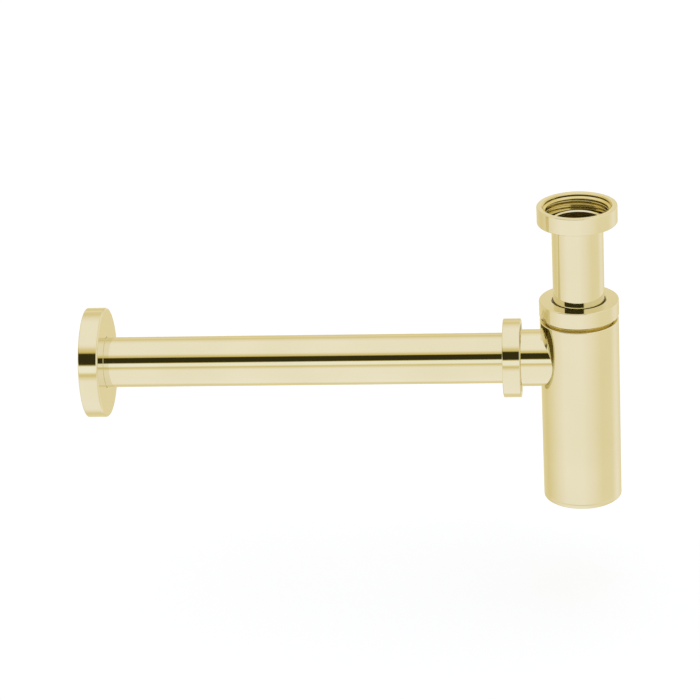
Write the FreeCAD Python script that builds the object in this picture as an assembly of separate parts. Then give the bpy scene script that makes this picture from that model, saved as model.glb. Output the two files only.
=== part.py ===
import FreeCAD, Part
import os

# Bottle trap for a wash basin: a polished brass bottle that hangs from the basin's waste by a
# union nut and drains through a straight tube into the wall.
# The inlet runs down +Z, the outlet tube runs along -X to the wall, all sizes in millimetres.

# Tubes, the same stock for inlet and outlet
tube_od = 32.0
tube_wall = 1.0

# Layout, drops measured from the basin nut's rim and reaches from the inlet axis
cap_drop = 62.4
outlet_drop = 102.0
dip_drop = 175.0
outlet_nut_reach = 48.0
outlet_tube_reach = 28.0
wall_reach = 314.0
outlet_tube_setback = 1.0

# Union nut for the basin, with the G 1 1/4 thread of a basin waste
basin_nut_height = 11.0
basin_nut_floor = 1.0
basin_nut_wall = 3.945
basin_thread_od = 41.91
basin_mouth_chamfer = 0.8
basin_relief = 0.5

# Turned-out lip of the inlet tube
lip_width = 3.4
lip_thickness = 0.8

# Compression joint: nut, plastic slip ring and cone seal, the same on inlet and outlet
nut_wall = 2.9
nut_face = 2.4
nut_edge_round = 0.6
nut_hole_chamfer = 0.4
cap_length = 10.4
outlet_nut_length = 11.2
thread_od = 44.0
thread_depth = 0.9
thread_lead = 0.5
slip_ring_width = 4.5
slip_ring_thickness = 1.5
seal_width = 3.4
seal_nose_width = 1.2
seal_head = 1.7
seat_straight = 0.6
seat_depth = 3.2

# Bottle with its outlet stub, turned to line up with the nuts
nut_proud = 0.2
bottle_wall = 1.6
shoulder_groove = 2.6
shoulder_thickness = 3.0
shoulder_edge_round = 0.5
stub_wall = 1.4
stub_collar_length = 5.0

# Screwed-in base
base_rim = 2.9
base_floor = 4.0
base_length = 9.0
base_cup_wall = 3.1
base_thread_land = 10.0
base_seal_cord = 2.2
base_groove_width = 2.5
seam_chamfer = 0.3
coin_slot_length = 26.0
coin_slot_width = 3.0
coin_slot_depth = 1.6

# Wall flange with a rubber ring in its hub
flange_od = 70.0
flange_depth = 12.5
flange_wall = 1.5
flange_edge_round = 1.0
hub_wall = 4.7
hub_length = 5.5
grip_width = 2.8
grip_thickness = 2.7

# Clearances
dip_clearance = 17.6
tube_gap = 0.3
nut_hole_gap = 0.9
bore_gap = 0.6
rubber_gap = 0.05
groove_side_gap = 0.1
lip_clearance = 0.4

# Radii and levels that follow from the sizes above
tube_r = tube_od / 2
tube_bore_r = tube_r - tube_wall
hole_r = tube_r + tube_gap
water_way_r = tube_r + bore_gap
thread_r = thread_od / 2
thread_root_r = thread_r - thread_depth
nut_r = thread_r + nut_wall
bottle_r = nut_r - nut_proud
stub_r = water_way_r + stub_wall
joint_stack = nut_face + slip_ring_thickness + seal_head

rim_z = basin_mouth_chamfer
nut_seat_z = rim_z - basin_nut_height + basin_nut_floor
lip_top_z = nut_seat_z + lip_thickness
cap_top_z = rim_z - cap_drop
neck_z = cap_top_z - joint_stack
shoulder_z = cap_top_z - cap_length - shoulder_groove
outlet_z = rim_z - outlet_drop
# The base hangs clear of the inlet tube's foot, so the bottle is as long as the dip needs
dip_z = rim_z - dip_drop
base_z = dip_z - dip_clearance - base_floor
seam_z = base_z + base_rim
bottle_length = shoulder_z - seam_z
collar_x = -(outlet_nut_reach - joint_stack)
wall_x = -wall_reach

up = FreeCAD.Vector(0, 0, 1)
sideways = FreeCAD.Vector(0, 1, 0)

# Where each joint's own axis lies: the inlet joint looks up, the outlet joint looks towards the wall
inlet_joint = FreeCAD.Placement(FreeCAD.Vector(0, 0, neck_z), FreeCAD.Rotation())
outlet_joint = FreeCAD.Placement(FreeCAD.Vector(collar_x, 0, outlet_z), FreeCAD.Rotation(sideways, -90))
wall_joint = FreeCAD.Placement(FreeCAD.Vector(wall_x, 0, outlet_z), FreeCAD.Rotation(sideways, 90))


def turned(*points):
    """Solid of revolution about Z from an outline of (radius, height) points."""
    corners = [FreeCAD.Vector(radius, 0, height) for radius, height in points]
    outline = Part.makePolygon(corners + corners[:1])
    return Part.Face(outline).revolve(FreeCAD.Vector(), up, 360)


def ring(inner, outer, low, high):
    return turned((inner, low), (outer, low), (outer, high), (inner, high))


def rims(shape, radius, *heights):
    """Circular edges of one radius about Z at the given heights."""
    found = []
    for edge in shape.Edges:
        curve = edge.Curve
        if isinstance(curve, Part.Circle) and abs(curve.Radius - radius) < 1e-4:
            if any(abs(curve.Center.z - height) < 1e-4 for height in heights):
                found.append(edge)
    return found


def placed(shape, placement):
    shape = shape.copy()
    shape.Placement = placement
    return shape


# Each piece of a compression joint is drawn with the neck's end face at height 0
def compression_nut(length):
    top = joint_stack
    ceiling = top - nut_face
    mouth = top - length
    hole = tube_r + nut_hole_gap
    nut = turned(
        (hole, ceiling),
        (thread_r, ceiling),
        (thread_r, mouth + thread_lead),
        (thread_r + thread_lead, mouth),
        (nut_r, mouth),
        (nut_r, top),
        (hole + nut_hole_chamfer, top),
        (hole, top - nut_hole_chamfer),
    )
    return nut.makeFillet(nut_edge_round, rims(nut, nut_r, mouth, top))


def slip_ring():
    return ring(hole_r, hole_r + slip_ring_width, seal_head, seal_head + slip_ring_thickness)


def cone_seal():
    inner = tube_r + rubber_gap
    return turned(
        (inner, -seat_depth),
        (tube_r + seal_nose_width, -seat_depth),
        (tube_r + seal_width, -seat_straight),
        (tube_r + seal_width, seal_head),
        (inner, seal_head),
    )


def threaded_neck(length):
    """Neck turned down to the thread's root, with the seal's seat and the water way."""
    seat_r = tube_r + seal_width + rubber_gap
    nose_r = tube_r + seal_nose_width + rubber_gap
    return turned(
        (water_way_r, -length),
        (thread_root_r, -length),
        (thread_root_r, -thread_lead),
        (thread_root_r - thread_lead, 0),
        (seat_r, 0),
        (seat_r, -seat_straight),
        (nose_r, -seat_depth),
        (water_way_r, -seat_depth),
    )


def basin_nut():
    """Nut with a chamfered mouth, whose bore is turned wider above its seat, where the thread runs out."""
    bottom = rim_z - basin_nut_height
    bore = basin_thread_od / 2
    outer = bore + basin_nut_wall
    relief = bore + basin_relief
    thread_top = rim_z - basin_mouth_chamfer
    thread_foot = lip_top_z + lip_clearance
    nut = turned(
        (hole_r, bottom),
        (outer, bottom),
        (outer, rim_z),
        (bore + basin_mouth_chamfer, rim_z),
        (bore, thread_top),
        (bore, thread_foot),
        (relief, thread_foot),
        (relief, nut_seat_z),
        (hole_r, nut_seat_z),
    )
    return nut.makeFillet(nut_edge_round, rims(nut, outer, bottom, rim_z))


def inlet_tube():
    lip_r = tube_r + lip_width
    tube = turned(
        (tube_bore_r, dip_z),
        (tube_r, dip_z),
        (tube_r, nut_seat_z),
        (lip_r, nut_seat_z),
        (lip_r, lip_top_z),
        (tube_bore_r, lip_top_z),
    )
    return tube.makeChamfer(lip_thickness, rims(tube, tube_bore_r, lip_top_z))


def bottle_body():
    inner = bottle_r - bottle_wall
    land_z = seam_z + base_thread_land
    seal_land_r = thread_r + tube_gap
    shell = turned(
        (water_way_r, shoulder_z - shoulder_thickness),
        (inner, shoulder_z - shoulder_thickness),
        (inner, land_z),
        (thread_r, land_z - (inner - thread_r)),
        (thread_r, seam_z + base_groove_width + tube_gap),
        (seal_land_r, seam_z + base_groove_width),
        (seal_land_r, seam_z),
        (bottle_r - seam_chamfer, seam_z),
        (bottle_r, seam_z + seam_chamfer),
        (bottle_r, shoulder_z),
        (water_way_r, shoulder_z),
    )
    shell = shell.makeFillet(shoulder_edge_round, rims(shell, bottle_r, shoulder_z))
    neck = placed(threaded_neck(neck_z - shoulder_z), inlet_joint)
    # The stub is a tube brazed over a smaller hole, so that the outlet tube stops against the bottle
    stub = ring(water_way_r, stub_r, collar_x, -stub_collar_length)
    stub = placed(stub, outlet_joint)
    bottle_round = Part.makeCylinder(bottle_r, bottle_length, FreeCAD.Vector(0, 0, seam_z))
    stub = stub.cut(bottle_round)
    collar = placed(threaded_neck(stub_collar_length), outlet_joint)
    outlet_hole = Part.makeCylinder(
        tube_bore_r, bottle_r, FreeCAD.Vector(0, 0, outlet_z), FreeCAD.Vector(-1, 0, 0)
    )
    shell = shell.cut(outlet_hole)
    return shell.multiFuse([neck, stub, collar]).removeSplitter()


def base_plug():
    groove_r = thread_r + tube_gap - rubber_gap - base_seal_cord - rubber_gap
    cup_r = thread_root_r - base_cup_wall
    top = seam_z + base_length
    plug = turned(
        (0, base_z),
        (bottle_r - seam_chamfer, base_z),
        (bottle_r, base_z + seam_chamfer),
        (bottle_r, seam_z - seam_chamfer),
        (bottle_r - seam_chamfer, seam_z),
        (groove_r, seam_z),
        (groove_r, seam_z + base_groove_width),
        (thread_root_r, seam_z + base_groove_width),
        (thread_root_r, top - thread_lead),
        (thread_root_r - thread_lead, top),
        (cup_r, top),
        (cup_r, base_z + base_floor),
        (0, base_z + base_floor),
    )
    slot_corner = FreeCAD.Vector(-coin_slot_length / 2, -coin_slot_width / 2, base_z)
    slot = Part.makeBox(coin_slot_length, coin_slot_width, coin_slot_depth, slot_corner)
    return plug.cut(slot)


def base_seal():
    cord_r = base_seal_cord / 2
    middle_r = thread_r + tube_gap - rubber_gap - cord_r
    centre = FreeCAD.Vector(0, 0, seam_z + base_groove_width / 2)
    return Part.makeTorus(middle_r, cord_r, centre)


def outlet_tube():
    length = wall_reach - outlet_tube_setback - outlet_tube_reach
    tube = ring(tube_bore_r, tube_r, outlet_tube_setback, outlet_tube_setback + length)
    return placed(tube, wall_joint)


# The wall flange and its ring are drawn with the wall at height 0
def hub_groove():
    middle = flange_depth - flange_wall - hub_length / 2
    reach = grip_width / 2 + groove_side_gap
    return middle - reach, middle + reach


def wall_flange():
    shell_r = flange_od / 2 - flange_wall
    hub_r = hole_r + hub_wall
    face_back = flange_depth - flange_wall
    hub_back = face_back - hub_length
    groove_low, groove_high = hub_groove()
    groove_r = tube_r + rubber_gap + grip_thickness + rubber_gap
    plate = turned(
        (hole_r, hub_back),
        (hub_r, hub_back),
        (hub_r, face_back),
        (shell_r, face_back),
        (shell_r, 0),
        (flange_od / 2, 0),
        (flange_od / 2, flange_depth),
        (hole_r, flange_depth),
        (hole_r, groove_high),
        (groove_r, groove_high),
        (groove_r, groove_low),
        (hole_r, groove_low),
    )
    plate = plate.makeFillet(flange_edge_round, rims(plate, flange_od / 2, flange_depth))
    return placed(plate, wall_joint)


def flange_grip():
    groove_low, groove_high = hub_groove()
    inner = tube_r + rubber_gap
    rubber = ring(inner, inner + grip_thickness, groove_low + groove_side_gap, groove_high - groove_side_gap)
    return placed(rubber, wall_joint)


pieces = {
    "basin_nut": basin_nut(),
    "inlet_tube": inlet_tube(),
    "cap_nut": placed(compression_nut(cap_length), inlet_joint),
    "inlet_slip_ring": placed(slip_ring(), inlet_joint),
    "inlet_seal": placed(cone_seal(), inlet_joint),
    "bottle_body": bottle_body(),
    "base_plug": base_plug(),
    "base_seal": base_seal(),
    "outlet_nut": placed(compression_nut(outlet_nut_length), outlet_joint),
    "outlet_slip_ring": placed(slip_ring(), outlet_joint),
    "outlet_seal": placed(cone_seal(), outlet_joint),
    "outlet_tube": outlet_tube(),
    "wall_flange": wall_flange(),
    "flange_grip": flange_grip(),
}

os.makedirs("parts", exist_ok=True)
for name, shape in pieces.items():
    shape.exportStep("parts/" + name + ".step")
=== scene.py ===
import math

import bmesh
import bpy
from mathutils import Matrix


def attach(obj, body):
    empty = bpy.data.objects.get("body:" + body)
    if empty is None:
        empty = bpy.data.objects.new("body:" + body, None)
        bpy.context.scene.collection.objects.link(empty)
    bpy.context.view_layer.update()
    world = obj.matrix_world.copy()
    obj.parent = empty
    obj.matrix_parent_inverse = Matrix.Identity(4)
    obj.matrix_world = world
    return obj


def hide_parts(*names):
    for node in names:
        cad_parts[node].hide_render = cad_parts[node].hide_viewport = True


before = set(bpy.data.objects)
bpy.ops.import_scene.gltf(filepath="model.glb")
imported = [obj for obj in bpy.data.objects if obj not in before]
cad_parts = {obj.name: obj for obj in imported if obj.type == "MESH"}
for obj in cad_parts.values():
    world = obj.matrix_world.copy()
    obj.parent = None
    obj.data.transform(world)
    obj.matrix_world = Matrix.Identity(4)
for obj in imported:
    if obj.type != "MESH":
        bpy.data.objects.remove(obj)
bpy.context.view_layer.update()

# Bottle trap for a wash basin in polished gold brass. Lengths are in millimetres, and the inlet axis
# is Z with the basin's thread at height 0. The outlet runs to the wall along -X.

# Basin union nut: a plain round collar turned from brass bar, polished bright and gold plated, with
# the pipe thread of a basin waste inside. It turns freely on the inlet tube, under the tube's lip.
mm = 0.001
around = 192
round_steps = 6
weld_gap = 0.002
tube_r = 16.0
hole_r = tube_r + 0.3
rim_z = 0.8
basin_nut_r = 24.9
basin_nut_foot = rim_z - 11.0
basin_seat_z = basin_nut_foot + 1.0
basin_bore_r = 20.955
basin_relief_r = basin_bore_r + 0.5
mouth_chamfer = 0.8
lip_top_z = basin_seat_z + 0.8
basin_thread_foot = lip_top_z + 0.4
nut_edge = 0.6
broken_edge = 0.15
basin_crest_r = 19.48
basin_pitch = 2.309
lead_in_top = -1.14
lead_in_crest = -2.1
lead_in_foot = -2.4
lead_in_end = -3.35
lead_in_round = 0.14
basin_thread_start = -6.95
basin_thread_turns = 1.75
basin_thread_turned = -60
mouth_ease = 0.1
finish_margin = 0.05
foot_margin = 0.2


def linear(srgb):
    """The linear colour of an sRGB hex value, as a shader socket takes it."""
    shares = [int(srgb[i : i + 2], 16) / 255 for i in (1, 3, 5)]
    return [c / 12.92 if c <= 0.04045 else ((c + 0.055) / 1.055) ** 2.4 for c in shares] + [1.0]


def add_node(tree, kind, links=(), values=(), **settings):
    """One shader node: links join other nodes' outputs to its sockets, values fill the rest."""
    node = tree.nodes.new(kind)
    for name, setting in settings.items():
        setattr(node, name, setting)
    for socket, output in dict(links).items():
        tree.links.new(output, node.inputs[socket])
    for socket, value in dict(values).items():
        node.inputs[socket].default_value = value
    return node


def set_stops(ramp, stops, first=0.0, last=1.0):
    """Gives a colour ramp its (place, hex colour) stops, with the places on a scale from first to last."""
    elements = ramp.color_ramp.elements
    while len(elements) < len(stops):
        elements.new(0.5)
    for element, (place, srgb) in zip(elements, stops):
        element.position = (place - first) / (last - first)
        element.color = linear(srgb)


def bare_material(name):
    """A new material with an empty node tree."""
    material = bpy.data.materials.new(name)
    material.use_nodes = True
    material.node_tree.nodes.clear()
    return material


def polished_brass(name, haze):
    """Brass buffed to a mirror, gold plated and clear lacquered. The eye sees a pale warm mirror whose
    reflections waver a little, with a faint haze of buffing lines that run round the piece."""
    material = bare_material(name)
    tree = material.node_tree
    place = add_node(tree, "ShaderNodeTexCoord")
    # The plating's tone drifts over about 40 mm
    drift_size = 40
    drift = add_node(
        tree,
        "ShaderNodeTexNoise",
        {"Vector": place.outputs["Object"]},
        {"Scale": 1 / (drift_size * mm), "Detail": 2.0},
    )
    tone = add_node(tree, "ShaderNodeValToRGB", {"Fac": drift.outputs["Fac"]})
    set_stops(tone, [(0.3, "#E7E1BF"), (0.7, "#EBE5C6")])
    # Buffing lines are a few hundredths of a millimetre apart; here 0.5 mm, so that they show
    line_gap = 0.5
    stretch = add_node(tree, "ShaderNodeMapping", {"Vector": place.outputs["Object"]}, {"Scale": haze})
    lines = add_node(
        tree,
        "ShaderNodeTexNoise",
        {"Vector": stretch.outputs["Vector"]},
        {"Scale": 1 / (line_gap * mm), "Detail": 3.0},
    )
    rough = add_node(
        tree,
        "ShaderNodeMapRange",
        {"Value": lines.outputs["Fac"]},
        {"From Min": 0.3, "From Max": 0.7, "To Min": 0.035, "To Max": 0.075},
    )
    # The buffed surface waves by a few micrometres over about 9 mm
    wave_size = 9
    wave_height = 0.006
    wave = add_node(
        tree,
        "ShaderNodeTexNoise",
        {"Vector": place.outputs["Object"]},
        {"Scale": 1 / (wave_size * mm), "Detail": 1.0},
    )
    ripple = add_node(
        tree, "ShaderNodeBump", {"Height": wave.outputs["Fac"]}, {"Strength": 1.0, "Distance": wave_height * mm}
    )
    shader = add_node(
        tree,
        "ShaderNodeBsdfPrincipled",
        {
            "Base Color": tone.outputs["Color"],
            "Roughness": rough.outputs["Result"],
            "Normal": ripple.outputs["Normal"],
        },
        {"Metallic": 1.0, "Coat Weight": 1.0, "Coat Roughness": 0.03},
    )
    add_node(tree, "ShaderNodeOutputMaterial", {"Surface": shader.outputs["BSDF"]})
    return material


def select_ring(radius, height):
    """Selects the edges of the edited mesh that lie round Z at that radius and height."""
    near = 2e-6
    cage = bmesh.from_edit_mesh(bpy.context.edit_object.data)
    bpy.ops.mesh.select_all(action="DESELECT")
    for edge in cage.edges:
        at_ring = all(
            abs(math.hypot(v.co.x, v.co.y) - radius * mm) < near and abs(v.co.z - height * mm) < near
            for v in edge.verts
        )
        if at_ring:
            edge.select_set(True)
    bmesh.update_edit_mesh(bpy.context.edit_object.data)


def smooth_flats(piece):
    """Smooth shading that leaves flat faces flat and corners crisp."""
    crisp_angle = 32
    bpy.ops.object.shade_smooth_by_angle(angle=math.radians(crisp_angle))
    bpy.ops.object.modifier_add(type="WEIGHTED_NORMAL")
    piece.modifiers[-1].keep_sharp = True
    bpy.ops.object.modifier_apply(modifier=piece.modifiers[-1].name)


def turned(name, outline, rounds, place=Matrix(), solid=False):
    """A piece turned about Z: a ring is drawn out through the outline's (radius, height) points.
    The outline closes on itself, or on its axis if the piece is solid, and each corner in rounds is
    rounded by its own radius."""
    bpy.ops.object.select_all(action="DESELECT")
    bpy.ops.mesh.primitive_circle_add(
        vertices=around, radius=outline[0][0] * mm, fill_type="NGON" if solid else "NOTHING"
    )
    piece = bpy.context.object
    piece.name = piece.data.name = name
    bpy.ops.object.mode_set(mode="EDIT")
    bpy.ops.mesh.select_mode(type="EDGE")
    bpy.ops.mesh.select_all(action="SELECT")
    bpy.ops.transform.translate(value=(0, 0, outline[0][1] * mm))
    ends = outline[1:] if solid else outline[1:] + outline[:1]
    for (r0, z0), (r1, z1) in zip(outline, ends):
        bpy.ops.mesh.extrude_edges_move(TRANSFORM_OT_translate={"value": (0, 0, (z1 - z0) * mm)})
        bpy.ops.transform.resize(value=(r1 / r0, r1 / r0, 1), center_override=(0, 0, z1 * mm))
    if solid:
        bpy.ops.mesh.edge_face_add()
    bpy.ops.mesh.select_all(action="SELECT")
    bpy.ops.mesh.remove_doubles(threshold=weld_gap * mm)
    bpy.ops.mesh.normals_make_consistent(inside=False)
    for (radius, height), size in rounds.items():
        select_ring(radius, height)
        bpy.ops.mesh.bevel(offset=size * mm, segments=round_steps, affect="EDGES")
    bpy.ops.object.mode_set(mode="OBJECT")
    piece.matrix_world = place
    bpy.ops.object.transform_apply()
    smooth_flats(piece)
    return piece


def thread_ridge(name, root_r, crest_r, start, pitch, turns, place=Matrix()):
    """The ridge of a right-hand screw thread, from a trapezoid with a rounded crest that is swept up a
    helix about Z and runs out into the wall at both ends."""
    root_sink = 0.02
    sunk_r = root_r - math.copysign(root_sink, crest_r - root_r)
    base_width = 0.9 * pitch
    crest_width = 0.26 * pitch
    crest_round = 0.48 * crest_width
    crest_steps = 5
    near = 1e-6
    end_corners = 16
    least_share = 0.02
    run_out = around // 4
    steps = int(around * turns)
    bpy.ops.object.select_all(action="DESELECT")
    bpy.ops.mesh.primitive_plane_add(size=1, rotation=(math.pi / 2, 0, 0))
    ridge = bpy.context.object
    ridge.name = ridge.data.name = name
    bpy.ops.object.transform_apply()
    for corner in ridge.data.vertices:
        at_crest = (corner.co.x > 0) == (crest_r > root_r)
        radius = crest_r if at_crest else sunk_r
        width = crest_width if at_crest else base_width
        height = start + math.copysign(width / 2, corner.co.z)
        corner.co = (radius * mm, 0, height * mm)
    bpy.ops.object.mode_set(mode="EDIT")
    bpy.ops.mesh.select_mode(type="VERT")
    bpy.ops.mesh.select_all(action="DESELECT")
    cage = bmesh.from_edit_mesh(ridge.data)
    for corner in cage.verts:
        corner.select_set(abs(corner.co.x - crest_r * mm) < near)
    bmesh.update_edit_mesh(ridge.data)
    bpy.ops.mesh.bevel(offset=crest_round * mm, segments=crest_steps, affect="VERTICES")
    bpy.ops.mesh.select_all(action="SELECT")
    bpy.ops.mesh.delete(type="ONLY_FACE")
    bpy.ops.object.mode_set(mode="OBJECT")
    bpy.ops.object.modifier_add(type="SCREW")
    sweep = ridge.modifiers[-1]
    sweep.angle = 2 * math.pi * turns
    sweep.screw_offset = pitch * turns * mm
    sweep.steps = sweep.render_steps = steps
    bpy.ops.object.modifier_apply(modifier=sweep.name)
    for corner in ridge.data.vertices:
        radius = math.hypot(corner.co.x, corner.co.y)
        turn = (math.atan2(corner.co.y, corner.co.x) / (2 * math.pi)) % 1
        climbed = (corner.co.z / mm - start) / pitch
        step = (round(climbed - turn) + turn) * around
        share = max(least_share, min(1.0, step / run_out, (steps - step) / run_out))
        to_radius = sunk_r * mm + (radius - sunk_r * mm) * share
        corner.co.x *= to_radius / radius
        corner.co.y *= to_radius / radius
    bpy.ops.object.mode_set(mode="EDIT")
    bpy.ops.mesh.select_all(action="SELECT")
    bpy.ops.mesh.fill_holes(sides=end_corners)
    bpy.ops.mesh.normals_make_consistent(inside=False)
    bpy.ops.object.mode_set(mode="OBJECT")
    ridge.matrix_world = place
    bpy.ops.object.transform_apply()
    smooth_flats(ridge)
    return ridge


def dress(piece, material, body):
    """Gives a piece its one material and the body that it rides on."""
    piece.data.materials.clear()
    piece.data.materials.append(material)
    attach(piece, body)


def cut_brass(name, low, high, smooth, dull):
    """Brass as the lathe and the draw bench leave it, plated but not buffed. Its fine tool lines turn
    reflections into a softer, deeper sheen, as in bores and on threads."""
    material = bare_material(name)
    tree = material.node_tree
    place = add_node(tree, "ShaderNodeTexCoord")
    # The plating's tone drifts over about 8 mm
    drift_size = 8
    drift = add_node(
        tree,
        "ShaderNodeTexNoise",
        {"Vector": place.outputs["Object"]},
        {"Scale": 1 / (drift_size * mm), "Detail": 3.0},
    )
    tone = add_node(tree, "ShaderNodeValToRGB", {"Fac": drift.outputs["Fac"]})
    set_stops(tone, [(0.3, low), (0.7, high)])
    # Tool lines lie about 0.1 mm apart; here 0.25 mm, so that they show
    line_gap = 0.25
    line_depth = 0.004
    grain = add_node(
        tree,
        "ShaderNodeTexNoise",
        {"Vector": place.outputs["Object"]},
        {"Scale": 1 / (line_gap * mm), "Detail": 2.0},
    )
    rough = add_node(
        tree,
        "ShaderNodeMapRange",
        {"Value": grain.outputs["Fac"]},
        {"From Min": 0.3, "From Max": 0.7, "To Min": smooth, "To Max": dull},
    )
    lines = add_node(
        tree, "ShaderNodeBump", {"Height": grain.outputs["Fac"]}, {"Strength": 0.5, "Distance": line_depth * mm}
    )
    shader = add_node(
        tree,
        "ShaderNodeBsdfPrincipled",
        {
            "Base Color": tone.outputs["Color"],
            "Roughness": rough.outputs["Result"],
            "Normal": lines.outputs["Normal"],
        },
        {"Metallic": 1.0},
    )
    add_node(tree, "ShaderNodeOutputMaterial", {"Surface": shader.outputs["BSDF"]})
    return material


def leave_unbuffed(piece, finish, reach, low, high, place=Matrix()):
    """Gives the faces within reach of the piece's axis, between two heights on it, another finish."""
    piece.data.materials.append(finish)
    for face in piece.data.polygons:
        spot = place.inverted() @ face.center
        if math.hypot(spot.x, spot.y) < reach * mm and low * mm < spot.z < high * mm:
            face.material_index = 1


brass_upright = polished_brass("polished_gold_brass_upright", (0.02, 0.02, 1.0))
brass_threaded = cut_brass("machined_gold_brass", "#E0D295", "#E5D9A0", 0.13, 0.21)

basin_nut = turned(
    "basin_union_nut",
    [
        (hole_r, basin_nut_foot),
        (basin_nut_r, basin_nut_foot),
        (basin_nut_r, rim_z),
        (basin_bore_r + mouth_chamfer, rim_z),
        (basin_bore_r, rim_z - mouth_chamfer),
        (basin_bore_r, lead_in_top),
        (basin_crest_r, lead_in_crest),
        (basin_crest_r, lead_in_foot),
        (basin_bore_r, lead_in_end),
        (basin_bore_r, basin_thread_foot),
        (basin_relief_r, basin_thread_foot),
        (basin_relief_r, basin_seat_z),
        (hole_r, basin_seat_z),
    ],
    {
        (basin_nut_r, basin_nut_foot): nut_edge,
        (basin_nut_r, rim_z): nut_edge,
        (basin_bore_r + mouth_chamfer, rim_z): mouth_ease,
        (basin_crest_r, lead_in_crest): lead_in_round,
        (basin_crest_r, lead_in_foot): lead_in_round,
        (hole_r, basin_nut_foot): broken_edge,
    },
)
dress(basin_nut, brass_upright, "union_nut")
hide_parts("basin_nut")
leave_unbuffed(basin_nut, brass_threaded, basin_relief_r + finish_margin, basin_nut_foot + foot_margin, rim_z)
basin_thread = thread_ridge(
    "basin_thread",
    basin_bore_r,
    basin_crest_r,
    basin_thread_start,
    basin_pitch,
    basin_thread_turns,
    Matrix.Rotation(math.radians(basin_thread_turned), 4, "Z"),
)
dress(basin_thread, brass_threaded, "union_nut")

# Inlet tube: drawn brass tube with its top end rolled out into a lip for the union nut. It slides
# down through the cap nut and dips into the bottle's water, which seals the drain.
tube_bore_r = tube_r - 1.0
lip_r = 19.4
lip_chamfer = 0.8
lip_round = 0.25
bore_margin = 0.01
dip_z = -174.2
brass_drawn = cut_brass("drawn_gold_brass", "#D8C990", "#DFD29E", 0.26, 0.36)
inlet_tube = turned(
    "inlet_dip_tube",
    [
        (tube_bore_r, dip_z),
        (tube_r, dip_z),
        (tube_r, basin_seat_z),
        (lip_r, basin_seat_z),
        (lip_r, lip_top_z),
        (tube_bore_r + lip_chamfer, lip_top_z),
        (tube_bore_r, lip_top_z - lip_chamfer),
    ],
    {
        (lip_r, lip_top_z): lip_round,
        (lip_r, basin_seat_z): lip_round,
        (tube_r, dip_z): broken_edge,
        (tube_bore_r, dip_z): broken_edge,
    },
)
dress(inlet_tube, brass_upright, "inlet")
leave_unbuffed(inlet_tube, brass_drawn, tube_bore_r + bore_margin, dip_z, lip_top_z)
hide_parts("inlet_tube")

# Cap nut: a round compression nut turned from brass bar. Its flat face has a hole a little wider than
# the tube, and its fine thread draws it down on the bottle's neck.
joint_stack = 5.6
cap_nut_length = 10.4
nut_r = 24.9
nut_top = 2.4
nut_hole_r = tube_r + 0.9
hole_chamfer = 0.4
thread_r = 22.0
thread_root_r = thread_r - 0.9
thread_lead = 0.5
ridge_gap = 0.05
pitch = 1.5
cap_thread_start = -4.0
cap_thread_turns = 4
neck_z = -67.2
inlet_joint = Matrix.Translation((0, 0, neck_z * mm))


def compression_nut(name, length, place):
    """A round nut whose face, with the tube's hole, stands above the end of the neck that it closes."""
    mouth = joint_stack - length
    ceiling = joint_stack - nut_top
    return turned(
        name,
        [
            (nut_hole_r, ceiling),
            (thread_r, ceiling),
            (thread_r, mouth + thread_lead),
            (thread_r + thread_lead, mouth),
            (nut_r, mouth),
            (nut_r, joint_stack),
            (nut_hole_r + hole_chamfer, joint_stack),
            (nut_hole_r, joint_stack - hole_chamfer),
        ],
        {
            (nut_r, mouth): nut_edge,
            (nut_r, joint_stack): nut_edge,
            (nut_hole_r + hole_chamfer, joint_stack): mouth_ease,
        },
        place,
    )


cap_nut = compression_nut("cap_compression_nut", cap_nut_length, inlet_joint)
dress(cap_nut, brass_upright, "cap")
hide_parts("cap_nut")
cap_thread = thread_ridge(
    "cap_nut_thread",
    thread_r,
    thread_root_r + ridge_gap,
    cap_thread_start,
    pitch,
    cap_thread_turns,
    inlet_joint,
)
dress(cap_thread, brass_threaded, "cap")

# Slip rings and cone seals of both compression joints: a thin plastic ring lets the nut turn without
# dragging the moulded rubber cone, which is wedged between the tube and the neck.


def moulded_plastic(name, low, high):
    """Milky polyethylene: light soaks in a little, and the skin is faintly mottled and waxy."""
    material = bare_material(name)
    tree = material.node_tree
    place = add_node(tree, "ShaderNodeTexCoord")
    # The melt leaves a mottle of about 2.5 mm. The skin's grain is about 0.05 mm; here it is 0.4 mm,
    # so that it shows
    mottle_size = 2.5
    skin_size = 0.4
    skin_depth = 0.02
    soak = 0.5
    mottle = add_node(
        tree,
        "ShaderNodeTexNoise",
        {"Vector": place.outputs["Object"]},
        {"Scale": 1 / (mottle_size * mm), "Detail": 4.0},
    )
    tone = add_node(tree, "ShaderNodeValToRGB", {"Fac": mottle.outputs["Fac"]})
    set_stops(tone, [(0.35, low), (0.65, high)])
    rough = add_node(
        tree,
        "ShaderNodeMapRange",
        {"Value": mottle.outputs["Fac"]},
        {"From Min": 0.3, "From Max": 0.7, "To Min": 0.38, "To Max": 0.52},
    )
    skin = add_node(
        tree,
        "ShaderNodeTexNoise",
        {"Vector": place.outputs["Object"]},
        {"Scale": 1 / (skin_size * mm), "Detail": 2.0},
    )
    bump = add_node(
        tree, "ShaderNodeBump", {"Height": skin.outputs["Fac"]}, {"Strength": 0.4, "Distance": skin_depth * mm}
    )
    shader = add_node(
        tree,
        "ShaderNodeBsdfPrincipled",
        {
            "Base Color": tone.outputs["Color"],
            "Roughness": rough.outputs["Result"],
            "Normal": bump.outputs["Normal"],
        },
        {"IOR": 1.51, "Subsurface Weight": 0.15, "Subsurface Scale": soak * mm},
    )
    add_node(tree, "ShaderNodeOutputMaterial", {"Surface": shader.outputs["BSDF"]})
    return material


white_plastic = moulded_plastic("polyethylene_white_moulded", "#E9E6DC", "#F3F1EA")


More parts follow.
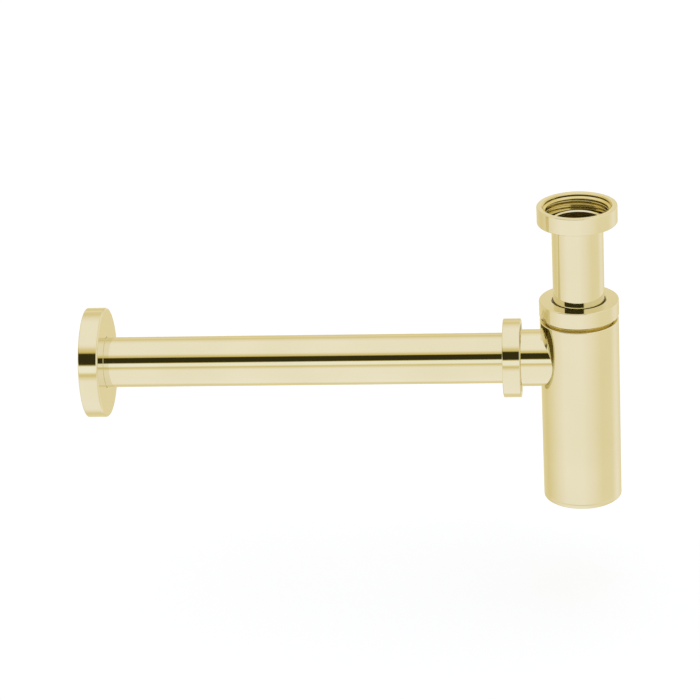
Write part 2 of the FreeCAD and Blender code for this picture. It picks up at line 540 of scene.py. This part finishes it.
def moulded_rubber(name):
    """Black moulded rubber: a dull skin with the fine grain of a spark-eroded mould."""
    material = bare_material(name)
    tree = material.node_tree
    place = add_node(tree, "ShaderNodeTexCoord")
    # The bloom drifts over about 6 mm. The mould's grain is about 0.05 mm; here it is 0.3 mm, so that
    # it shows
    bloom_size = 6
    grain_size = 0.3
    grain_depth = 0.03
    bloom = add_node(
        tree,
        "ShaderNodeTexNoise",
        {"Vector": place.outputs["Object"]},
        {"Scale": 1 / (bloom_size * mm), "Detail": 4.0},
    )
    tone = add_node(tree, "ShaderNodeValToRGB", {"Fac": bloom.outputs["Fac"]})
    set_stops(tone, [(0.35, "#1B1B1B"), (0.7, "#292827")])
    grain = add_node(
        tree,
        "ShaderNodeTexNoise",
        {"Vector": place.outputs["Object"]},
        {"Scale": 1 / (grain_size * mm), "Detail": 2.0},
    )
    rough = add_node(
        tree,
        "ShaderNodeMapRange",
        {"Value": grain.outputs["Fac"]},
        {"From Min": 0.3, "From Max": 0.7, "To Min": 0.55, "To Max": 0.75},
    )
    bump = add_node(
        tree,
        "ShaderNodeBump",
        {"Height": grain.outputs["Fac"]},
        {"Strength": 0.6, "Distance": grain_depth * mm},
    )
    shader = add_node(
        tree,
        "ShaderNodeBsdfPrincipled",
        {
            "Base Color": tone.outputs["Color"],
            "Roughness": rough.outputs["Result"],
            "Normal": bump.outputs["Normal"],
        },
        {"IOR": 1.52},
    )
    add_node(tree, "ShaderNodeOutputMaterial", {"Surface": shader.outputs["BSDF"]})
    return material


black_rubber = moulded_rubber("nitrile_rubber_black_moulded")
for ring_node in ("inlet_slip_ring", "outlet_slip_ring"):
    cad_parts[ring_node].data.materials.clear()
    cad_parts[ring_node].data.materials.append(white_plastic)
# The base's sealing ring and the flange's grip are moulded from the same rubber
for seal_node in ("inlet_seal", "outlet_seal", "base_seal", "flange_grip"):
    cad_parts[seal_node].data.materials.clear()
    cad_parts[seal_node].data.materials.append(black_rubber)

# Bottle: a straight brass shell with a screwed neck for the cap nut above and a screwed mouth for the
# base below. It is turned and polished in one with its neck, so a plain groove shows under the cap.
bottle_r = 24.7
bottle_bore_r = bottle_r - 1.6
water_way_r = tube_r + 0.6
shoulder_z = -74.6
shoulder_rise = 0.7
shoulder_round = 0.5
shoulder_thickness = 3.0
polished_rim = 0.6
seam_z = -192.9
outlet_z = -101.2
land_z = seam_z + 10.0
base_groove_width = 2.5
mouth_relief = 0.3
seal_seat_r = tube_r + 3.45
seal_nose_r = tube_r + 1.25
seat_rim = 0.6
seat_depth = 3.2
stub_r = 18.0
stub_margin = 1.5
hole_sides = 96
neck_thread_start = -7.75
neck_thread_turns = 4.6
mouth_thread_start = -188.95
mouth_thread_turns = 2.7
bottle = turned(
    "bottle_shell",
    [
        (water_way_r, shoulder_z - shoulder_thickness),
        (bottle_bore_r, shoulder_z - shoulder_thickness),
        (bottle_bore_r, land_z),
        (thread_r, land_z - (bottle_bore_r - thread_r)),
        (thread_r, seam_z + base_groove_width + mouth_relief),
        (thread_r + mouth_relief, seam_z + base_groove_width),
        (thread_r + mouth_relief, seam_z),
        (bottle_r, seam_z),
        (bottle_r, outlet_z - stub_r - stub_margin),
        (bottle_r, outlet_z + stub_r + stub_margin),
        (bottle_r, shoulder_z),
        (thread_root_r, shoulder_z + shoulder_rise),
        (thread_root_r, neck_z - thread_lead),
        (thread_root_r - thread_lead, neck_z),
        (seal_seat_r, neck_z),
        (seal_seat_r, neck_z - seat_rim),
        (seal_nose_r, neck_z - seat_depth),
        (water_way_r, neck_z - seat_depth),
    ],
    {(bottle_r, shoulder_z): shoulder_round},
)

# The outlet hole is bored through the wall, smaller than the stub, so that the outlet tube stops there
bpy.ops.object.select_all(action="DESELECT")
bpy.ops.mesh.primitive_cylinder_add(
    vertices=hole_sides,
    radius=tube_bore_r * mm,
    depth=bottle_r * mm,
    location=(-bottle_r * mm, 0, outlet_z * mm),
    rotation=(0, math.pi / 2, 0),
)
borer = bpy.context.object


def cut_away(piece, tool):
    """Takes the tool's form out of a piece and removes the tool."""
    bpy.ops.object.select_all(action="DESELECT")
    bpy.context.view_layer.objects.active = piece
    piece.select_set(True)
    bpy.ops.object.modifier_add(type="BOOLEAN")
    piece.modifiers[-1].operation = "DIFFERENCE"
    piece.modifiers[-1].solver = "EXACT"
    piece.modifiers[-1].object = tool
    bpy.ops.object.modifier_apply(modifier=piece.modifiers[-1].name)
    bpy.data.objects.remove(tool)
    smooth_flats(piece)


cut_away(bottle, borer)
dress(bottle, brass_upright, "bottle")
leave_unbuffed(
    bottle, brass_threaded, bottle_r - polished_rim, shoulder_z - finish_margin, neck_z + finish_margin
)
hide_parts("bottle_body")
neck_thread = thread_ridge(
    "neck_thread",
    thread_root_r,
    thread_r - ridge_gap,
    neck_thread_start,
    pitch,
    neck_thread_turns,
    inlet_joint,
)
dress(neck_thread, brass_threaded, "bottle")
mouth_thread = thread_ridge(
    "bottle_mouth_thread",
    thread_r,
    thread_root_r + ridge_gap,
    mouth_thread_start,
    pitch,
    mouth_thread_turns,
)
dress(mouth_thread, brass_threaded, "bottle")

# Outlet stub: a short brass tube with a screwed collar, its end shaped to the bottle's round and
# brazed over the hole. The joint is polished flush, so the two cylinders meet in a sharp line.
collar_x = -42.4
collar_length = 5.0
collar_land = 0.8
stub_start = collar_x + 10.0
stub_sunk = 0.7
stub_thread_start = -4.25
stub_thread_turns = 2.3
brass_level = polished_brass("polished_gold_brass_level", (1.0, 0.02, 0.02))
# Raw brass for the collar's shoulder: its rougher unbuffed finish is real, and its dark olive tone is painted
# shade for the recess behind the outlet nut
raw_brass_shaded = cut_brass("raw_brass_painted_shade", "#675C31", "#766A39", 0.3, 0.42)

# On the raw brass a painted shade deepens upwards, from the plated tone to a dark tone, for the shade in the
# recess behind the outlet nut
painted_shade_foot = outlet_z - 9.0
painted_shade_full = outlet_z - 2.0
raw_tree = raw_brass_shaded.node_tree
raw_shader = raw_tree.nodes["Principled BSDF"]
raw_place = add_node(
    raw_tree, "ShaderNodeSeparateXYZ", {"Vector": raw_tree.nodes["Texture Coordinate"].outputs["Object"]}
)
painted_shade_rise = add_node(
    raw_tree,
    "ShaderNodeMapRange",
    {"Value": raw_place.outputs["Z"]},
    {"From Min": painted_shade_foot * mm, "From Max": painted_shade_full * mm},
)
painted_shade_tone = add_node(
    raw_tree,
    "ShaderNodeMix",
    {"Factor": painted_shade_rise.outputs["Result"], "B": raw_shader.inputs["Base Color"].links[0].from_socket},
    {"A": linear("#E5DEBA")},
    data_type="RGBA",
)
raw_tree.links.new(painted_shade_tone.outputs["Result"], raw_shader.inputs["Base Color"])

outlet_joint = Matrix.Translation((collar_x * mm, 0, outlet_z * mm)) @ Matrix.Rotation(-math.pi / 2, 4, "Y")
stub = turned(
    "outlet_stub",
    [
        (water_way_r, stub_start),
        (stub_r, stub_start),
        (stub_r, -collar_length),
        (thread_r - ridge_gap, -collar_length),
        (thread_r - ridge_gap, collar_land - collar_length),
        (thread_root_r, collar_land - collar_length + thread_lead),
        (thread_root_r, -thread_lead),
        (thread_root_r - thread_lead, 0),
        (seal_seat_r, 0),
        (seal_seat_r, -seat_rim),
        (seal_nose_r, -seat_depth),
        (water_way_r, -seat_depth),
    ],
    {},
    outlet_joint,
)
bpy.ops.object.select_all(action="DESELECT")
bpy.ops.mesh.primitive_cylinder_add(
    vertices=around,
    radius=(bottle_r - stub_sunk) * mm,
    depth=4 * stub_r * mm,
    location=(0, 0, outlet_z * mm),
)
saddle = bpy.context.object
cut_away(stub, saddle)
dress(stub, brass_level, "bottle")
# The buffing wheel can't reach the collar's shoulder behind the nut, so it stays rougher; its dark tone is
# painted shade in that recess
leave_unbuffed(
    stub, raw_brass_shaded, thread_r, -collar_length - finish_margin, finish_margin - collar_length, outlet_joint
)
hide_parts("bottle_body")
stub_thread = thread_ridge(
    "stub_thread",
    thread_root_r,
    thread_r - ridge_gap,
    stub_thread_start,
    pitch,
    stub_thread_turns,
    outlet_joint,
)
dress(stub_thread, brass_threaded, "bottle")

# Base: a brass plug that screws into the bottle's foot over a rubber ring, cupped inside and slotted
# below for a coin, so that the trap can be opened to clean it. Its rim shows as a band under a seam.
base_z = seam_z - 2.9
base_top = seam_z + 9.0
base_chamfer = 0.3
base_round = 0.2
seam_ease = 0.12
seam_ease_height = 0.7
seam_ease_round = 0.04
base_groove_r = 20.0
cup_r = 18.0
cup_floor = base_z + 4.0
cup_round = 1.0
slot_length = 26.0
slot_width = 3.0
slot_depth = 1.6
base_thread_start = -189.7
base_thread_turns = 3
base = turned(
    "base_plug_cup",
    [
        (bottle_r - base_chamfer, base_z),
        (bottle_r, base_z + base_chamfer),
        (bottle_r, seam_z - seam_ease_height),
        (bottle_r - seam_ease, seam_z),
        (base_groove_r, seam_z),
        (base_groove_r, seam_z + base_groove_width),
        (thread_root_r, seam_z + base_groove_width),
        (thread_root_r, base_top - thread_lead),
        (thread_root_r - thread_lead, base_top),
        (cup_r, base_top),
        (cup_r, cup_floor),
    ],
    {
        (bottle_r, base_z + base_chamfer): base_round,
        (bottle_r, seam_z - seam_ease_height): seam_ease_round,
        (cup_r, cup_floor): cup_round,
    },
    solid=True,
)
bpy.ops.object.select_all(action="DESELECT")
bpy.ops.mesh.primitive_cube_add(size=1, location=(0, 0, base_z * mm))
coin_cutter = bpy.context.object
coin_cutter.scale = (slot_length * mm, slot_width * mm, 2 * slot_depth * mm)
bpy.ops.object.transform_apply()
cut_away(base, coin_cutter)
dress(base, brass_upright, "base")
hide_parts("base_plug")
base_thread = thread_ridge(
    "base_plug_thread", thread_root_r, thread_r - ridge_gap, base_thread_start, pitch, base_thread_turns
)
dress(base_thread, brass_threaded, "base")

# Outlet nut: the cap nut's twin, a little longer and turned from the same brass bar. It screws on the
# stub's collar and presses the seal there round the outlet tube.
outlet_nut_length = 11.2
outlet_thread_start = -3.5
outlet_thread_turns = 3.8
outlet_nut = compression_nut("outlet_compression_nut", outlet_nut_length, outlet_joint)
dress(outlet_nut, brass_level, "outlet_union")
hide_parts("outlet_nut")
outlet_nut_thread = thread_ridge(
    "outlet_nut_thread",
    thread_r,
    thread_root_r + ridge_gap,
    outlet_thread_start,
    pitch,
    outlet_thread_turns,
    outlet_joint,
)
dress(outlet_nut_thread, brass_threaded, "outlet_union")

# Outlet tube: a straight length of the same drawn tube as the inlet, sawn square and deburred. It
# slips into the stub through the outlet nut and runs into the wall.
wall_x = -314.0
wall_joint = Matrix.Translation((wall_x * mm, 0, outlet_z * mm)) @ Matrix.Rotation(math.pi / 2, 4, "Y")
tube_start = 1.0
tube_end = -28.0 - wall_x
outlet_tube = turned(
    "outlet_wall_tube",
    [
        (tube_bore_r, tube_start),
        (tube_r, tube_start),
        (tube_r, tube_end),
        (tube_bore_r, tube_end),
    ],
    {
        (tube_r, tube_start): broken_edge,
        (tube_bore_r, tube_start): broken_edge,
        (tube_r, tube_end): broken_edge,
    },
    wall_joint,
)
dress(outlet_tube, brass_level, "outlet")
leave_unbuffed(outlet_tube, brass_drawn, tube_bore_r + bore_margin, tube_start, tube_end, wall_joint)
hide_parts("outlet_tube")

# Wall flange: a deep round cover spun and turned from brass, hollow behind, with a hub inside its
# face that holds a rubber ring. The ring grips the tube, and the flange slides back to the wall.
flange_r = 35.0
flange_shell_r = flange_r - 1.5
flange_depth = 12.5
flange_hole_r = tube_r + 0.1
face_back = flange_depth - 1.5
hub_r = hole_r + 4.7
hub_back = face_back - 5.5
grip_low = 6.75
grip_high = 9.75
grip_groove_r = 18.8
face_round = 1.4
back_round = 0.6
shell_round = 0.2
hollow_round = 0.8
flange_hole_round = 0.9
rim_margin = 0.1
flange = turned(
    "wall_flange_cover",
    [
        (hole_r, hub_back),
        (hub_r, hub_back),
        (hub_r, face_back),
        (flange_shell_r, face_back),
        (flange_shell_r, 0),
        (flange_r, 0),
        (flange_r, flange_depth),
        (flange_hole_r, flange_depth),
        (flange_hole_r, grip_high),
        (grip_groove_r, grip_high),
        (grip_groove_r, grip_low),
        (hole_r, grip_low),
    ],
    {
        (flange_r, flange_depth): face_round,
        (flange_r, 0): back_round,
        (flange_shell_r, 0): shell_round,
        (flange_shell_r, face_back): hollow_round,
        (flange_hole_r, flange_depth): flange_hole_round,
    },
    wall_joint,
)
dress(flange, brass_level, "flange")
# The hollow stays as it was spun
leave_unbuffed(
    flange, brass_drawn, flange_shell_r + finish_margin, rim_margin, face_back + finish_margin, wall_joint
)
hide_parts("wall_flange")

# Studio: a white room with soft light all round, a dark opening in front where the camera stands, and
# a floor that deepens towards the horizon, as the bright metal shows them.
world = bpy.data.worlds.new("white_studio")
bpy.context.scene.world = world
world.use_nodes = True
sky = world.node_tree
sky.nodes.clear()
way = add_node(sky, "ShaderNodeTexCoord")
axes = add_node(sky, "ShaderNodeSeparateXYZ", {"Vector": way.outputs["Generated"]})
rise = add_node(sky, "ShaderNodeMath", {0: axes.outputs["Z"]}, operation="ARCSINE")
height = add_node(
    sky,
    "ShaderNodeMapRange",
    {"Value": rise.outputs["Value"]},
    {"From Min": -math.pi / 2, "From Max": math.pi / 2},
)
towards = add_node(sky, "ShaderNodeMath", {0: axes.outputs["Y"]}, {1: -1.0}, operation="MULTIPLY")
bearing = add_node(
    sky, "ShaderNodeMath", {0: axes.outputs["X"], 1: towards.outputs["Value"]}, operation="ARCTAN2"
)
turn = add_node(
    sky, "ShaderNodeMapRange", {"Value": bearing.outputs["Value"]}, {"From Min": -math.pi, "From Max": math.pi}
)

# Tones by degrees of height above the horizon, or of bearing: 0 is the camera's side and 90 the right
heights = (-90, 90)
bearings = (-180, 180)
glare = "#FFFFFF"
pearl = "#FDF9F6"
cream = "#F8F1E5"
straw = "#F1E8CC"
gold = "#E7DAAE"
deep_gold = "#E1D19A"
edge_gold = "#D2BC62"
edge_olive = "#A08F3D"
shade = "#36321A"
all_of_it = "#FFFFFF"
none_of_it = "#000000"

# The front wall with its dark opening, the walls at the left and behind, and the right-hand wall
front = add_node(sky, "ShaderNodeValToRGB", {"Fac": height.outputs["Result"]})
set_stops(
    front,
    [
        (-22, pearl),
        (-14, cream),
        (-9, straw),
        (-4.5, deep_gold),
        (-1.5, gold),
        (3.2, glare),
        (15, glare),
        (16.4, edge_gold),
        (17.8, edge_olive),
        (19, shade),
        (40.3, shade),
        (41.3, edge_olive),
        (42.5, edge_gold),
        (44.6, deep_gold),
        (48.5, gold),
        (54.5, cream),
        (58.5, pearl),
    ],
    *heights,
)
sides = add_node(sky, "ShaderNodeValToRGB", {"Fac": height.outputs["Result"]})
set_stops(
    sides,
    [
        (-22, pearl),
        (-14, cream),
        (-5, gold),
        (10, deep_gold),
        (20, straw),
        (26, gold),
        (36, gold),
        (43, straw),
        (51, cream),
        (62, pearl),
    ],
    *heights,
)
right = add_node(sky, "ShaderNodeValToRGB", {"Fac": height.outputs["Result"]})
set_stops(
    right,
    [
        (-12, cream),
        (2, straw),
        (9, pearl),
        (19, cream),
        (26, straw),
        (52, straw),
        (64, pearl),
    ],
    *heights,
)
right_hand = add_node(sky, "ShaderNodeValToRGB", {"Fac": turn.outputs["Result"]})
set_stops(right_hand, [(22, none_of_it), (30, all_of_it), (148, all_of_it), (164, none_of_it)], *bearings)
around_room = add_node(
    sky,
    "ShaderNodeMix",
    {"Factor": right_hand.outputs["Color"], "A": sides.outputs["Color"], "B": right.outputs["Color"]},
    data_type="RGBA",
)

# The opening has crisp upright edges
opening = add_node(sky, "ShaderNodeValToRGB", {"Fac": turn.outputs["Result"]})
set_stops(opening, [(-68, none_of_it), (-65, all_of_it), (22, all_of_it), (25, none_of_it)], *bearings)

# Near the horizon the front blends into the sides, so that upright tubes show no edge
blended = add_node(sky, "ShaderNodeValToRGB", {"Fac": turn.outputs["Result"]})
set_stops(blended, [(-115, none_of_it), (-70, all_of_it), (30, all_of_it), (75, none_of_it)], *bearings)
horizon = add_node(sky, "ShaderNodeValToRGB", {"Fac": height.outputs["Result"]})
set_stops(horizon, [(0, all_of_it), (14, none_of_it)], *heights)
in_front = add_node(
    sky,
    "ShaderNodeMix",
    {"Factor": horizon.outputs["Color"], "A": opening.outputs["Color"], "B": blended.outputs["Color"]},
    data_type="RGBA",
)
room = add_node(
    sky,
    "ShaderNodeMix",
    {"Factor": in_front.outputs["Result"], "A": around_room.outputs["Result"], "B": front.outputs["Color"]},
    data_type="RGBA",
)

# The floor's tone changes by bearing only
warmth = add_node(sky, "ShaderNodeValToRGB", {"Fac": turn.outputs["Result"]})
set_stops(
    warmth,
    [
        (-178, gold),
        (-118, gold),
        (-92, straw),
        (-70, cream),
        (-48, pearl),
        (4, pearl),
        (36, cream),
        (64, straw),
        (103, straw),
        (120, cream),
        (130, cream),
        (143, straw),
        (160, gold),
    ],
    *bearings,
)
below = add_node(sky, "ShaderNodeValToRGB", {"Fac": height.outputs["Result"]})
set_stops(below, [(-80, none_of_it), (-66, all_of_it), (-18, all_of_it), (-12, none_of_it)], *heights)
walls = add_node(
    sky,
    "ShaderNodeMix",
    {"Factor": below.outputs["Color"], "A": room.outputs["Result"], "B": warmth.outputs["Color"]},
    data_type="RGBA",
)

# The camera itself sees plain white paper behind the trap
studio_light = add_node(sky, "ShaderNodeBackground", {"Color": walls.outputs["Result"]})
paper = add_node(sky, "ShaderNodeBackground", values={"Color": (1.0, 1.0, 1.0, 1.0)})
path = add_node(sky, "ShaderNodeLightPath")
shown = add_node(
    sky,
    "ShaderNodeMixShader",
    {0: path.outputs["Is Camera Ray"], 1: studio_light.outputs["Background"], 2: paper.outputs["Background"]},
)
add_node(sky, "ShaderNodeOutputWorld", {"Surface": shown.outputs["Shader"]})

# Floor: a sheet of matt white paper below the trap, which takes its soft shadow. The brightener in the
# paper gives it a faint blue cast, and the eye sees one even white with the paper behind.
floor_z = -260.0
floor_size = 12000.0
floor_glow = 0.455
bpy.ops.object.select_all(action="DESELECT")
bpy.ops.mesh.primitive_plane_add(size=floor_size * mm, location=(0, 0, floor_z * mm))
floor = bpy.context.object
floor.name = "studio_floor"
floor.visible_glossy = False
floor_paper = bare_material("paper_white_matt")
paper_tree = floor_paper.node_tree
matt = add_node(paper_tree, "ShaderNodeBsdfDiffuse", values={"Color": linear("#D8E0F7")})
# A glow that only the camera sees lifts the floor to the white of the paper behind
glow = add_node(paper_tree, "ShaderNodeEmission", values={"Color": linear("#FFFFFF"), "Strength": floor_glow})
lit = add_node(paper_tree, "ShaderNodeAddShader", {0: matt.outputs["BSDF"], 1: glow.outputs["Emission"]})
floor_path = add_node(paper_tree, "ShaderNodeLightPath")
seen = add_node(
    paper_tree,
    "ShaderNodeMixShader",
    {0: floor_path.outputs["Is Camera Ray"], 1: matt.outputs["BSDF"], 2: lit.outputs["Shader"]},
)
add_node(paper_tree, "ShaderNodeOutputMaterial", {"Surface": seen.outputs["Shader"]})
floor.data.materials.append(floor_paper)

# Camera: a long lens about 1.7 m away, above the trap and to the right of its middle. It is rolled by
# a few degrees to match the photograph.
camera_x, camera_y, camera_z = 40.5, -1605.2, 606.9
camera_heading = 6.598
camera_fall = 23.466
camera_roll = -3.289
bpy.ops.object.camera_add()
camera = bpy.context.object
camera.data.sensor_width = 36.0
camera.data.lens = 143.0
camera.data.clip_end = 50.0
camera.matrix_world = (
    Matrix.Translation((camera_x * mm, camera_y * mm, camera_z * mm))
    @ Matrix.Rotation(math.radians(camera_heading), 4, "Z")
    @ Matrix.Rotation(math.radians(90 - camera_fall), 4, "X")
    @ Matrix.Rotation(math.radians(camera_roll), 4, "Z")
)
bpy.context.scene.camera = camera
bpy.context.scene.view_settings.view_transform = "Standard"
